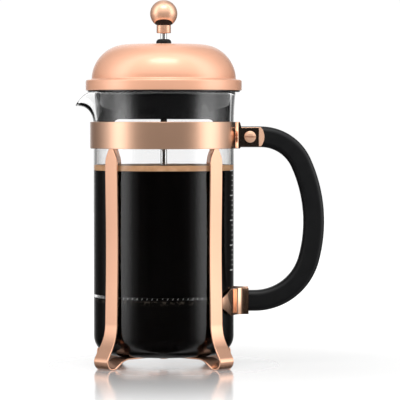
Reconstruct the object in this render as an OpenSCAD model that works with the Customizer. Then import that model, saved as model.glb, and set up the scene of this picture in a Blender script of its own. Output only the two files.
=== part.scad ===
// French press: a glass beaker in a sheet-metal frame, with a domed lid and a filter plunger.
// Origin: on the table under the beaker's axis. +Z up, +X to the handle, -X to the spout.
// Dimensions are millimetres.

/* [Beaker] */
// Outside radius of the glass
glass_r = 48.2; // [47.6:0.1:48.4]
// Wall thickness of the glass
glass_wall = 1.7; // [1.6:0.1:1.9]
// Height of the rim above the table
rim_z = 187.6; // [186:0.1:187.6]
// How far the rim flares out
rim_flare = 1.1; // [0.4:0.1:1.2]
// Distance of the spout's tip from the axis
spout_reach = 60.4; // [57:0.1:61]

/* [Frame] */
// Thickness of the sheet metal
sheet_t = 1.2; // [1:0.1:1.4]
// Outside radius of the band
band_r = 50.6; // [50.4:0.1:52]
// Height of the band's lower edge
band_z = 148.9; // [146:0.1:150]
// Width of the band
band_h = 18.3; // [16:0.1:19]
// Width of each leg
leg_w = 11.5; // [10:0.1:12]
// Width of each foot
foot_w = 13; // [12:0.1:13.6]
// Outermost reach of each foot
foot_r = 60.2; // [59.4:0.1:62]

/* [Handle] */
// Depth of the handle, front to back
grip_d = 12; // [11:0.1:12]
// Thickness of the handle in its own plane
grip_t = 14.4; // [13:0.1:15]

/* [Lid] */
// Radius of the brim
brim_r = 53.6; // [53:0.1:55]
// Height of the top of the dome
dome_z = 220.3; // [219:0.1:221]
// Outside radius of the skirt that goes into the beaker
skirt_r = 45.8; // [45:0.1:45.9]

/* [Plunger] */
// Radius of the rod
rod_r = 2.2; // [2:0.05:2.4]
// Height of the filter's edge spring, as stored
filter_z = 48; // [48:0.5:60]
// Radius of the knob ball
ball_r = 9.35; // [8.9:0.05:9.5]

/* [Hidden] */

// fineness of the round parts
$fn = 96;
// running clearance of a shaft in its bore, and the lift that keeps resting faces apart
running = 0.06;
seat_gap = 0.1;
eps = 0.01;

copper = [0.86, 0.56, 0.42];
steel = [0.75, 0.76, 0.77];
black = [0.09, 0.09, 0.09];
glass = [0.85, 0.92, 0.95, 0.35];

// frame
sheet_mid_r = band_r - sheet_t / 2;
leg_angle = 45;
neck_w = 4;
neck_h = 10;
base_z = 6.8;
cross_drop = sheet_t;
cross_half = 8;
cross_ramp = 4;
foot_bend_r = 4.9;
foot_rise_z = 22;
leg_bow = 1.05;
leg_bow_z = 78;
rivet_r = 2;
rivet_head_r = 3.4;
rivet_head_h = 1;

// handle clamp
ear_mid_y = grip_d / 2 + sheet_t / 2;
ear_h = 13;
ear_z = band_z + 8;
ear_bend_r = 3;
ear_tip_x = 69;
ear_end_r = 10;
screw_x = 59.1;
shank_r = 2;
head_r = 4.1;
head_h = 2.6;
slot_w = 1.1;
slot_d = 1.1;
nut_r = 5;
nut_h = 4;
shank_overhang = 1;

// lower bracket
bracket_z = 44.3;
bracket_h = 18.3;
bracket_root_h = 6.6;
bracket_tip_x = 58.2;
bracket_full_angle = 24;
bracket_root_angle = leg_angle - asin(leg_w / 2 / (band_r - sheet_t));
bracket_bend_r = 9;

// lid
dome_bend_r = 24.4;
brim_step = 4;
dome_wall = 1;
brim_z = 188.7;
brim_top_z = 196;
brim_edge_r = 1.2;
deck_z = rim_z + seat_gap;
deck_t = 2;
post_r = 8;
bushing_r = 4;
bushing_head_r = 5.3;
bushing_head_h = 3.65;
nut_seat_z = 212.3;
bushing_nut_r = 5.8;
bushing_nut_h = 3.4;
skirt_wall = 1.8;
flap_z = 160;
window_z = 169;
window_half_angle = 51;
strainer_pitch = 6;
strainer_z = 177.5;
strainer_rise = 7.5;

// plunger
ball_z = 241.4;
ball_cut_z = 234.4;
insert_r = 6.1;
ferrule_r = 4.9;
ferrule_top_z = 233.5;
ferrule_z = 228.1;
rod_top_z = 238;
rod_bottom_z = filter_z - 7.6;
spring_tube_r = 1.6;
spring_mid_r = 44.5;
plate_t = 0.8;
mesh_t = 0.6;
cross_t = 1;

// ---- helpers ----

function turned(v, a) = [v.x * cos(a) - v.y * sin(a), v.x * sin(a) + v.y * cos(a)];

// the arc that rounds corner q between p and s with radius r, as points
function corner(p, q, s, r, steps) =
    let (
        u = (p - q) / norm(p - q),
        v = (s - q) / norm(s - q),
        half = acos(u * v) / 2,
        centre = q + (u + v) / norm(u + v) * r / sin(half),
        start = q + u * r / tan(half) - centre,
        side = u.x * v.y - u.y * v.x > 0 ? -1 : 1
    )
    [for (i = [0:steps]) centre + turned(start, side * (180 - 2 * half) * i / steps)];

// a path with rounded corners: nodes are [x, y, radius], and the two ends stay sharp
function rounded_path(nodes, steps = 10) = [
    for (i = [0:len(nodes) - 1])
        let (q = [nodes[i].x, nodes[i].y], last = len(nodes) - 1)
        if (i == 0 || i == last || nodes[i].z == 0)
            q
        else
            each corner(
                [nodes[i - 1].x, nodes[i - 1].y], q,
                [nodes[i + 1].x, nodes[i + 1].y], nodes[i].z, steps)
];

// the closed outline with every corner rounded
function rounded_loop(nodes, steps = 8) = [
    for (i = [0:len(nodes) - 1])
        let (
            n = len(nodes),
            p = nodes[(i + n - 1) % n],
            q = nodes[i],
            s = nodes[(i + 1) % n]
        )
        if (q.z == 0)
            [q.x, q.y]
        else
            each corner([p.x, p.y], [q.x, q.y], [s.x, s.y], q.z, steps)
];

function heading(a, b) = (b - a) / norm(b - a);
function left_of(d) = [-d.y, d.x];

// the normal of a path at point i, scaled so that offsets keep the sheet's thickness
function path_normal(path, i) =
    let (
        last = len(path) - 1,
        before = left_of(heading(path[max(i - 1, 0)], path[max(i, 1)])),
        after = left_of(heading(path[min(i, last - 1)], path[min(i + 1, last)])),
        mean = (before + after) / 2
    )
    mean / (mean * mean);

// a sheet of thickness t along a path, as a closed outline
function sheet_outline(path, t) = concat(
    [for (i = [0:len(path) - 1]) path[i] + path_normal(path, i) * t / 2],
    [for (i = [len(path) - 1:-1:0]) path[i] - path_normal(path, i) * t / 2]
);

// draws 2-D children in the XZ plane, depth d centred on y = 0
module upright(d) {
    rotate([90, 0, 0])
        translate([0, 0, -d / 2])
            linear_extrude(d)
                children();
}

// a closed skin over rings of points, with the first and last ring capped
module lofted(rings) {
    n = len(rings[0]);
    m = len(rings);
    points = [for (ring = rings) each ring];
    sides = [
        for (j = [0:m - 2], i = [0:n - 1])
            let (a = j * n + i, b = j * n + (i + 1) % n)
            each [[a, b, b + n], [a, b + n, a + n]]
    ];
    caps = [
        [for (i = [n - 1:-1:0]) i],
        [for (i = [0:n - 1]) (m - 1) * n + i]
    ];
    polyhedron(points, concat(sides, caps));
}

// ---- frame ----

// where the ears leave the band
ear_bend_x = sqrt(pow(sheet_mid_r + ear_bend_r, 2) - pow(ear_mid_y + ear_bend_r, 2));
ear_start_angle = asin((ear_mid_y + ear_bend_r) / (sheet_mid_r + ear_bend_r));

// side view of an ear: as high as the band up to the bend, then narrower, with a round tip
module ear_side() {
    upright(4 * grip_d)
        polygon(concat(
            [[ear_bend_x, ear_z - ear_h / 2], [ear_bend_x, band_z], [0, band_z],
             [0, band_z + band_h], [ear_bend_x, band_z + band_h],
             [ear_bend_x, ear_z + ear_h / 2]],
            [for (i = [6:-1:-6])
                let (a = asin(ear_h / 2 / ear_end_r) * i / 6)
                [ear_tip_x - ear_end_r + ear_end_r * cos(a), ear_z + ear_end_r * sin(a)]]
        ));
}

// one ear, from the band's end to its tip
module band_ear() {
    bend = [
        for (i = [0:12])
            let (a = 180 + ear_start_angle + (90 - ear_start_angle) * i / 12)
            [ear_bend_x, ear_mid_y + ear_bend_r] + ear_bend_r * [cos(a), sin(a)]
    ];
    intersection() {
        translate([0, 0, band_z])
            linear_extrude(band_h)
                polygon(sheet_outline(concat(bend, [[ear_tip_x, ear_mid_y]]), sheet_t));
        ear_side();
    }
}

module band_ring() {
    rotate_extrude(angle = 360 - 2 * ear_start_angle, start = ear_start_angle)
        translate([band_r - sheet_t, band_z])
            square([sheet_t, band_h]);
}

module frame_band() {
    color(copper)
        difference() {
            union() {
                band_ring();
                band_ear();
                mirror([0, 1, 0])
                    band_ear();
            }
            translate([screw_x, 0, ear_z])
                rotate([90, 0, 0])
                    cylinder(r = shank_r + running, h = 4 * grip_d, center = true);
        }
}

// side view of one strap, from the base out to a foot and up a leg that bows in slightly
foot_nodes = [
    [43.2, base_z, 14],
    [52.5, sheet_t / 2, 2],
    [foot_r + 3.6, sheet_t / 2, foot_bend_r],
    [sheet_mid_r + 0.1, foot_rise_z, 30],
    [sheet_mid_r - leg_bow, leg_bow_z, 1300],
    [sheet_mid_r, band_z, 0]
];

// the middle of the base, where one strap dips by drop to pass under the other
function base_nodes(drop) =
    drop == 0
        ? [[0, base_z, 0]]
        : [[0, base_z - drop, 0], [cross_half, base_z - drop, 2],
           [cross_half + cross_ramp, base_z, 2]];

function strap_half(drop) = rounded_path(concat(base_nodes(drop), foot_nodes), 12);

// a leg's front outline: widest at the foot, tapering to the neck under the band
leg_outline = concat(
    [[-leg_w / 2, foot_rise_z], [-foot_w / 2, foot_rise_z / 2], [-foot_w / 2, -1],
     [foot_w / 2, -1], [foot_w / 2, foot_rise_z / 2], [leg_w / 2, foot_rise_z]],
    [for (i = [0:10]) [
        neck_w / 2 + (leg_w - neck_w) / 2 * cos(90 * i / 10),
        band_z - neck_h + neck_h * i / 10
    ]],
    [for (i = [10:-1:0]) [
        -neck_w / 2 - (leg_w - neck_w) / 2 * cos(90 * i / 10),
        band_z - neck_h + neck_h * i / 10
    ]]
);

module leg_strap(drop) {
    half = strap_half(drop);
    whole = concat(
        [for (i = [len(half) - 1:-1:1]) [-half[i].x, half[i].y]],
        half
    );
    color(copper)
        difference() {
            intersection() {
                upright(foot_w)
                    polygon(sheet_outline(whole, sheet_t));
                rotate([90, 0, 90])
                    translate([0, 0, -2 * band_r])
                        linear_extrude(4 * band_r)
                            polygon(leg_outline);
            }
            cylinder(r = rivet_r, h = 2 * base_z);
        }
}

module leg_strap_a() {
    rotate([0, 0, leg_angle])
        leg_strap(0);
}

module leg_strap_b() {
    rotate([0, 0, -leg_angle])
        leg_strap(cross_drop);
}

// holds the two straps together where they cross; its upper end is flush with the strap
module base_rivet() {
    under = base_z - cross_drop - sheet_t / 2;
    color(copper) {
        translate([0, 0, under - rivet_head_h])
            cylinder(r1 = rivet_head_r - 0.8, r2 = rivet_head_r, h = rivet_head_h);
        translate([0, 0, under - eps])
            cylinder(r = rivet_r, h = 2 * sheet_t + eps);
    }
}

// the bracket's plan: wings against the band's radius, bent out into a sleeve for the handle
bracket_side_y = grip_d / 2 + sheet_t / 2;
bracket_bend_x = sqrt(pow(sheet_mid_r + bracket_bend_r, 2)
                      - pow(bracket_side_y + bracket_bend_r, 2));
bracket_bend_angle = asin((bracket_side_y + bracket_bend_r) / (sheet_mid_r + bracket_bend_r));

module bracket_side() {
    wing_root = bracket_root_angle;
    wing = [
        for (i = [0:10])
            let (a = wing_root + (bracket_bend_angle - wing_root) * i / 10)
            sheet_mid_r * [cos(a), sin(a)]
    ];
    bend = [
        for (i = [1:10])
            let (a = 180 + bracket_bend_angle + (90 - bracket_bend_angle) * i / 10)
            [bracket_bend_x, bracket_side_y + bracket_bend_r]
                + bracket_bend_r * [cos(a), sin(a)]
    ];
    root_y = sheet_mid_r * sin(wing_root) + sheet_t;
    full_y = sheet_mid_r * sin(bracket_full_angle);
    intersection() {
        translate([0, 0, bracket_z - bracket_h / 2])
            linear_extrude(bracket_h)
                polygon(sheet_outline(
                    concat(wing, bend, [[bracket_tip_x, bracket_side_y]]), sheet_t));
        rotate([90, 0, 90])
            linear_extrude(2 * band_r)
                polygon(rounded_loop([
                    [0, bracket_z - bracket_h / 2, 0],
                    [full_y, bracket_z - bracket_h / 2, 3],
                    [root_y, bracket_z - bracket_root_h / 2, 0],
                    [root_y, bracket_z + bracket_root_h / 2, 0],
                    [full_y, bracket_z + bracket_h / 2, 3],
                    [0, bracket_z + bracket_h / 2, 0]
                ]));
    }
}

module lower_bracket() {
    color(copper) {
        bracket_side();
        mirror([0, 1, 0])
            bracket_side();
    }
}

// ---- handle ----

grip_start_x = 52.6;
grip_straight_x = 66.7;
grip_bends = [[30.4, 65.4], [97.6, 40], [38.6, 74.6]];
grip_corner_r = 3.6;

// points along the grip: each is [x, z, heading]; every bend turns clockwise
function grip_bend(from, bend, steps) = [
    for (i = [1:steps])
        let (
            a0 = from.z,
            a1 = a0 - bend.y * i / steps,
            r = bend.x
        )
        [from.x - r * (sin(a1) - sin(a0)), from.y + r * (cos(a1) - cos(a0)), a1]
];

function grip_path(from, i) =
    i == len(grip_bends)
        ? [[grip_start_x + 0.6, from.y, from.z]]
        : let (points = grip_bend(from, grip_bends[i], ceil(grip_bends[i].y / 6)))
          concat(points, grip_path(points[len(points) - 1], i + 1));

grip_line = concat(
    [[grip_start_x, ear_z, 0]],
    [[grip_straight_x, ear_z, 0]],
    grip_path([grip_straight_x, ear_z, 0], 0)
);

grip_section = rounded_loop([
    [-grip_t / 2, -grip_d / 2, grip_corner_r], [grip_t / 2, -grip_d / 2, grip_corner_r],
    [grip_t / 2, grip_d / 2, grip_corner_r], [-grip_t / 2, grip_d / 2, grip_corner_r]
], 4);

// the handle's two ends are narrower, so that they fit between the ears and in the sleeve
module handle() {
    side_gap = 0.05;
    color(black)
        difference() {
            intersection() {
                lofted([
                    for (p = grip_line)
                        [for (q = grip_section)
                            [p.x - q.x * sin(p.z), q.y, p.y + q.x * cos(p.z)]]
                ]);
                cube([400, grip_d - 2 * side_gap, 600], center = true);
            }
            translate([screw_x, 0, ear_z])
                rotate([90, 0, 0])
                    cylinder(r = shank_r + running, h = 2 * grip_d, center = true);
        }
}

// ---- clamp screw and nut ----

ear_face_y = grip_d / 2 + sheet_t;

module clamp_screw() {
    head_crown = 0.9;
    color(copper)
        translate([screw_x, 0, ear_z])
            rotate([90, 0, 0])
                difference() {
                    union() {
                        translate([0, 0, -ear_face_y - nut_h - shank_overhang])
                            cylinder(r = shank_r, h = 2 * ear_face_y + nut_h + shank_overhang + 1);
                        translate([0, 0, ear_face_y + seat_gap])
                            cylinder(r = head_r, h = head_h - head_crown);
                        translate([0, 0, ear_face_y + seat_gap + head_h - head_crown])
                            cylinder(r1 = head_r, r2 = head_r - 1, h = head_crown);
                    }
                    translate([-head_r - 1, -slot_w / 2, ear_face_y + seat_gap + head_h - slot_d])
                        cube([2 * head_r + 2, slot_w, slot_d + 1]);
                }
}

module clamp_nut() {
    grooves = 18;
    color(copper)
        translate([screw_x, ear_face_y + seat_gap, ear_z])
            rotate([-90, 0, 0])
                difference() {
                    union() {
                        cylinder(r = nut_r, h = nut_h - 0.8);
                        translate([0, 0, nut_h - 0.8])
                            cylinder(r1 = nut_r, r2 = nut_r - 0.8, h = 0.8);
                    }
                    translate([0, 0, -1])
                        cylinder(r = shank_r + running, h = nut_h + 2);
                    for (i = [0:grooves - 1])
                        rotate([0, 0, 360 * i / grooves])
                            translate([nut_r, 0, -1])
                                cylinder(r = 0.35, h = nut_h + 2, $fn = 16);
                }
}

// ---- beaker ----

wall_segments = 72;
spout_r_half_angle = 26;
spout_z_half_angle = 17;
spout_root_z = 166;
spout_steps = 9;
glass_base_z = base_z + sheet_t / 2 + 0.05;
glass_floor_t = 2.4;
glass_corner_r = 13;

// 1 at the spout's middle, falling smoothly to 0 at half_angle
function bump(a, half_angle) = abs(a) >= half_angle ? 0 : pow(cos(90 * a / half_angle), 2);

function bezier(p, t) =
    pow(1 - t, 3) * p[0] + 3 * t * pow(1 - t, 2) * p[1]
        + 3 * t * t * (1 - t) * p[2] + t * t * t * p[3];

// [r, z] of the upper wall away from the spout, and along the spout's middle
function plain_wall(inset, t) =
    [glass_r - inset + rim_flare * t * t, spout_root_z + (rim_z - 0.8 - spout_root_z) * t];

spout_tip_z = rim_z - 9.6;
spout_outer = [
    [glass_r, spout_root_z], [glass_r + 0.6, spout_root_z + 9],
    [spout_reach - 6.4, spout_tip_z], [spout_reach, spout_tip_z + 0.2]
];
spout_inner = [
    [glass_r - glass_wall, spout_root_z], [glass_r - glass_wall + 0.4, spout_root_z + 11],
    [spout_reach - 7.4, spout_tip_z + 1.9], [spout_reach - 0.6, spout_tip_z + 1.9]
];

// a ring of the wall: a point between the plain profile and the spout's profile
function wall_ring(plain, spout) = [
    for (i = [0:wall_segments - 1])
        let (
            a = 360 * i / wall_segments,
            off = a - 180,
            r = plain.x + (spout.x - plain.x) * bump(off, spout_r_half_angle),
            z = plain.y + (spout.y - plain.y) * bump(off, spout_z_half_angle)
        )
        [r * cos(a), r * sin(a), z]
];

function round_ring(r, z) = wall_ring([r, z], [r, z]);

module beaker() {
    inner_r = glass_r - glass_wall;
    inner_corner = glass_corner_r - glass_wall;
    floor_z = glass_base_z + glass_floor_t;
    rings = concat(
        [for (a = [0:15:90])
            round_ring(glass_r - glass_corner_r + glass_corner_r * sin(a),
                       glass_base_z + glass_corner_r * (1 - cos(a)))],
        [for (i = [0:spout_steps])
            wall_ring(plain_wall(0, i / spout_steps), bezier(spout_outer, i / spout_steps))],
        [wall_ring([glass_r + rim_flare - 0.6, rim_z - 0.1],
                   [spout_reach + 0.2, spout_tip_z + 1.2])],
        [wall_ring([inner_r + rim_flare + 0.6, rim_z - 0.1],
                   [spout_reach - 0.1, spout_tip_z + 1.8])],
        [for (i = [spout_steps:-1:0])
            wall_ring(plain_wall(glass_wall, i / spout_steps),
                      bezier(spout_inner, i / spout_steps))],
        [for (a = [90:-15:0])
            round_ring(inner_r - inner_corner + inner_corner * sin(a),
                       floor_z + inner_corner * (1 - cos(a)))]
    );
    color(glass)
        lofted(rings);
}

// ---- lid ----

// the dome and its brim in section, inset by d
module dome_section(d) {
    bend_mid = [brim_r - brim_step - dome_bend_r, dome_z - dome_bend_r];
    square([bend_mid.x, dome_z - d]);
    intersection() {
        translate(bend_mid)
            circle(r = dome_bend_r - d);
        square([brim_r, dome_z]);
    }
    square([bend_mid.x + dome_bend_r - d, dome_z - dome_bend_r]);
    edge_r = brim_edge_r;
    square([brim_r - d - edge_r, brim_top_z - d]);
    square([brim_r - d, brim_top_z - d - edge_r]);
    translate([brim_r - d - edge_r, brim_top_z - d - edge_r])
        circle(r = edge_r);
}

module lid_dome() {
    color(copper)
        rotate_extrude()
            difference() {
                dome_section(0);
                dome_section(dome_wall);
                square([2 * brim_r, brim_z]);
                square([bushing_r + running, 2 * dome_z]);
            }
}

// the plastic deck, the post under the dome and the skirt with its two windows
module spill_guard() {
    deck_r = brim_r - dome_wall - 0.3;
    post_top = dome_z - dome_wall;
    slot_w = 3;
    slot_h = 4.6;
    color(black)
        difference() {
            union() {
                rotate_extrude()
                    difference() {
                        union() {
                            translate([0, deck_z])
                                square([deck_r, deck_t]);
                            translate([0, deck_z])
                                square([post_r, post_top - deck_z]);
                        }
                        square([bushing_r + running, 2 * dome_z]);
                        square([bushing_nut_r + 0.6, nut_seat_z]);
                    }
                rotate_extrude()
                    polygon([
                        [skirt_r, deck_z + eps], [skirt_r - skirt_wall, deck_z + eps],
                        [skirt_r - skirt_wall - 0.4, flap_z], [skirt_r - 0.5, flap_z]
                    ]);
            }
            window(0);
            window(180);
            for (row = [0, 1], i = [-4:4])
                rotate([0, 0, strainer_pitch * i])
                    translate([skirt_r, 0, strainer_z + strainer_rise * row])
                        cube([4 * skirt_wall, slot_w, slot_h], center = true);
        }
}

// the cut-out under the skirt at the front or the back, with rounded upper corners
module window(turn) {
    half = skirt_r * sin(window_half_angle);
    rotate([0, 0, turn])
        rotate([90, 0, 0])
            linear_extrude(2 * skirt_r)
                polygon(rounded_loop([
                    [-half, flap_z - 1, 0], [half, flap_z - 1, 0],
                    [half, window_z, 4], [-half, window_z, 4]
                ]));
}

module stem_bushing() {
    head_z = dome_z + seat_gap / 2;
    head_top_z = head_z + bushing_head_h;
    shaft_end_z = nut_seat_z - bushing_nut_h - 0.6;
    bore_r = rod_r + running;
    color(black)
        rotate_extrude()
            polygon(rounded_loop([
                [bore_r, shaft_end_z, 0], [bushing_r, shaft_end_z, 0],
                [bushing_r, head_z, 0], [bushing_head_r, head_z, 0],
                [bushing_head_r, head_top_z, 2.2], [bore_r, head_top_z, 0.4]
            ]));
}

module bushing_nut() {
    top = nut_seat_z - seat_gap;
    color(black)
        difference() {
            translate([0, 0, top - bushing_nut_h])
                cylinder(r = bushing_nut_r, h = bushing_nut_h, $fn = 6);
            cylinder(r = bushing_r, h = 2 * dome_z);
        }
}

// ---- plunger ----

module rod() {
    color(steel) {
        translate([0, 0, rod_bottom_z])
            cylinder(r = rod_r, h = rod_top_z - rod_bottom_z);
    }
}

module knob_bore() {
    cylinder(r = rod_r + running, h = rod_top_z + 0.3);
}

module knob_ball() {
    color(copper)
        difference() {
            translate([0, 0, ball_z])
                sphere(r = ball_r);
            translate([0, 0, ball_cut_z - 2 * ball_r])
                cylinder(r = 2 * ball_r, h = 2 * ball_r);
            cylinder(r = insert_r - 1.2, h = rod_top_z + 1.2);
        }
}

module knob_insert() {
    color(black)
        difference() {
            union() {
                translate([0, 0, ferrule_top_z])
                    cylinder(r1 = ferrule_r, r2 = insert_r, h = ball_cut_z - ferrule_top_z);
                translate([0, 0, ball_cut_z - eps])
                    cylinder(r = insert_r - 1.2, h = rod_top_z + 1.2 - ball_cut_z + eps);
            }
            knob_bore();
        }
}

module knob_ferrule() {
    color(copper)
        difference() {
            translate([0, 0, ferrule_z])
                cylinder(r = ferrule_r, h = ferrule_top_z - ferrule_z);
            knob_bore();
        }
}

// the filter, from the top down
collar_z = filter_z + plate_t / 2;
collar_h = 4;
mesh_z = filter_z - spring_tube_r - mesh_t;
cross_z = mesh_z - cross_t;
hub_h = 2.8;
filter_r = spring_mid_r + spring_tube_r;

module rod_collar() {
    color(steel)
        difference() {
            translate([0, 0, collar_z + 0.05])
                cylinder(r = 4.4, h = collar_h, $fn = 6);
            translate([0, 0, collar_z - 1])
                cylinder(r = rod_r, h = collar_h + 2);
        }
}

module spring_plate() {
    plate_r = spring_mid_r - spring_tube_r;
    holes = 12;
    color(steel)
        difference() {
            translate([0, 0, filter_z - plate_t / 2])
                cylinder(r = plate_r, h = plate_t);
            translate([0, 0, filter_z - 1])
                cylinder(r = rod_r + running, h = 2);
            for (i = [0:holes - 1])
                rotate([0, 0, 360 * i / holes])
                    translate([plate_r * 0.72, 0, filter_z - 1])
                        cylinder(r = 5, h = 2, $fn = 32);
            for (i = [0:holes / 2 - 1])
                rotate([0, 0, 720 * (i + 0.5) / holes])
                    translate([plate_r * 0.36, 0, filter_z - 1])
                        cylinder(r = 4, h = 2, $fn = 32);
        }
}

// the outer shape of the coil spring that seals the filter against the glass
module edge_spring() {
    color(steel)
        rotate_extrude()
            translate([spring_mid_r, filter_z])
                circle(r = spring_tube_r, $fn = 24);
}

module mesh_screen() {
    color(steel)
        difference() {
            translate([0, 0, mesh_z])
                cylinder(r = filter_r - 0.2, h = mesh_t);
            cylinder(r = rod_r + running, h = 2 * filter_z);
        }
}

// the perforated bottom plate that holds the mesh up
module cross_plate() {
    plate_r = filter_r - 2.4;
    holes = 8;
    color(steel)
        translate([0, 0, cross_z])
            difference() {
                cylinder(r = plate_r, h = cross_t);
                translate([0, 0, -1])
                    cylinder(r = rod_r + running, h = cross_t + 2);
                for (i = [0:holes - 1])
                    rotate([0, 0, 360 * (i + 0.5) / holes])
                        translate([plate_r * 0.66, 0, -1])
                            cylinder(r = plate_r * 0.2, h = cross_t + 2, $fn = 48);
            }
}

module hub_nut() {
    color(steel)
        difference() {
            translate([0, 0, cross_z - hub_h])
                cylinder(r = 5, h = hub_h, $fn = 6);
            translate([0, 0, cross_z - hub_h - 1])
                cylinder(r = rod_r + running, h = hub_h + 2);
        }
}

frame_band();
leg_strap_a();
leg_strap_b();
base_rivet();
lower_bracket();
handle();
clamp_screw();
clamp_nut();
beaker();
lid_dome();
spill_guard();
stem_bushing();
bushing_nut();
rod();
rod_collar();
knob_ball();
knob_insert();
knob_ferrule();
spring_plate();
edge_spring();
mesh_screen();
cross_plate();
hub_nut();
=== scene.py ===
import math

import bmesh
import bpy
import numpy as np
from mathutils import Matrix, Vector


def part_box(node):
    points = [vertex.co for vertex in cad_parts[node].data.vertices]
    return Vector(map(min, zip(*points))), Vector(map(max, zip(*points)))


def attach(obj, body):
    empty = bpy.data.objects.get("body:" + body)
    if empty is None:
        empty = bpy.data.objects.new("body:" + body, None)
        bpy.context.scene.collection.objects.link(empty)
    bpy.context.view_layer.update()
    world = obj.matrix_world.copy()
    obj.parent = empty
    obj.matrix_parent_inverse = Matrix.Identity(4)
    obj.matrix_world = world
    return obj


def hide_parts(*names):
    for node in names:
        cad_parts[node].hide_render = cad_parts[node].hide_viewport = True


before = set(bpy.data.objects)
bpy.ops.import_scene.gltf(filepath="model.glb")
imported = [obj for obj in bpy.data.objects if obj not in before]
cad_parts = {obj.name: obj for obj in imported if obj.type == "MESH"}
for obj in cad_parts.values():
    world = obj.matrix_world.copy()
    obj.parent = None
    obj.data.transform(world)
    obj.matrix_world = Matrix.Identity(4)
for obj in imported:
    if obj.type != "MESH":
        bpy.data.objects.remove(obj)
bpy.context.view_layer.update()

MM = 0.001


def span(node):
    """Lowest and highest corner of a CAD node, in millimetres."""
    low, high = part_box(node)
    return np.array(low) / MM, np.array(high) / MM


# ---------------------------------------------------------------- node trees


MIX_COLOURS, MIX_RESULT = (6, 7), 2    # a Mix node's sockets when it mixes colours
NOISE_SPAN = (0.3, 0.7)                # where nearly all of a noise's values lie


class Tree:
    """Short calls for building a node tree."""

    def __init__(self, owner):
        owner.use_nodes = True
        self.nodes = owner.node_tree.nodes
        self.links = owner.node_tree.links
        self.nodes.clear()

    def add(self, kind, **settings):
        made = self.nodes.new(kind)
        for key, value in settings.items():
            setattr(made, key, value)
        return made

    def feed(self, socket, value):
        if isinstance(value, bpy.types.NodeSocket):
            self.links.new(value, socket)
        else:
            socket.default_value = value

    def calc(self, operation, *values):
        made = self.add("ShaderNodeMath", operation=operation)
        for socket, value in zip(made.inputs, values):
            self.feed(socket, value)
        return made.outputs[0]

    def step(self, value, low, high, start=0.0, end=1.0):
        """Rises smoothly from start to end as value goes from low to high."""
        made = self.add("ShaderNodeMapRange", interpolation_type="SMOOTHSTEP")
        for name, item in (("Value", value), ("From Min", low), ("From Max", high),
                           ("To Min", start), ("To Max", end)):
            self.feed(made.inputs[name], item)
        return made.outputs[0]

    def place(self, stretch=(1, 1, 1)):
        """Object coordinates, stretched."""
        coordinates = self.add("ShaderNodeTexCoord")
        mapping = self.add("ShaderNodeMapping")
        mapping.inputs["Scale"].default_value = stretch
        self.links.new(coordinates.outputs["Object"], mapping.inputs["Vector"])
        return mapping.outputs[0]

    def where(self, axis):
        """One of the object coordinates, in metres."""
        split = self.add("ShaderNodeSeparateXYZ")
        self.links.new(self.place(), split.inputs[0])
        return split.outputs[axis]

    def facing(self):
        """0 where the surface faces the ray, 1 where the ray grazes it."""
        weight = self.add("ShaderNodeLayerWeight")
        weight.inputs["Blend"].default_value = 0.5
        return weight.outputs["Facing"]

    def noise(self, scale, detail=3.0, stretch=(1, 1, 1)):
        made = self.add("ShaderNodeTexNoise")
        made.inputs["Scale"].default_value = scale
        made.inputs["Detail"].default_value = detail
        self.links.new(self.place(stretch), made.inputs["Vector"])
        return made.outputs["Fac"]

    def uneven(self, scale, detail, low, high):
        """A value that drifts between low and high over the surface."""
        return self.step(self.noise(scale, detail), *NOISE_SPAN, low, high)

    def blend(self, factor, first, second):
        made = self.add("ShaderNodeMix", data_type="RGBA")
        self.feed(made.inputs["Factor"], factor)
        for index, value in zip(MIX_COLOURS, (first, second)):
            self.feed(made.inputs[index], value)
        return made.outputs[MIX_RESULT]

    def bump(self, height, strength, distance):
        made = self.add("ShaderNodeBump")
        made.inputs["Strength"].default_value = strength
        made.inputs["Distance"].default_value = distance
        self.links.new(height, made.inputs["Height"])
        return made.outputs["Normal"]

    def principled(self, **values):
        made = self.add("ShaderNodeBsdfPrincipled")
        for name, value in values.items():
            self.feed(made.inputs[name.replace("_", " ")], value)
        output = self.add("ShaderNodeOutputMaterial")
        self.links.new(made.outputs[0], output.inputs["Surface"])
        return made


def rgb(r, g, b):
    """An opaque colour, in linear light."""
    return (r, g, b, 1.0)


def material(name):
    """A new material and its empty node tree."""
    made = bpy.data.materials.new(name)
    return made, Tree(made)


# the lighter and the deeper shade that each plating drifts between
COPPER_SHADES = rgb(0.94, 0.575, 0.395), rgb(0.91, 0.535, 0.355)
LID_SHADES = rgb(0.885, 0.465, 0.300), rgb(0.845, 0.430, 0.270)
LEG_SHADES = rgb(0.93, 0.525, 0.350), rgb(0.90, 0.485, 0.315)


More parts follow.
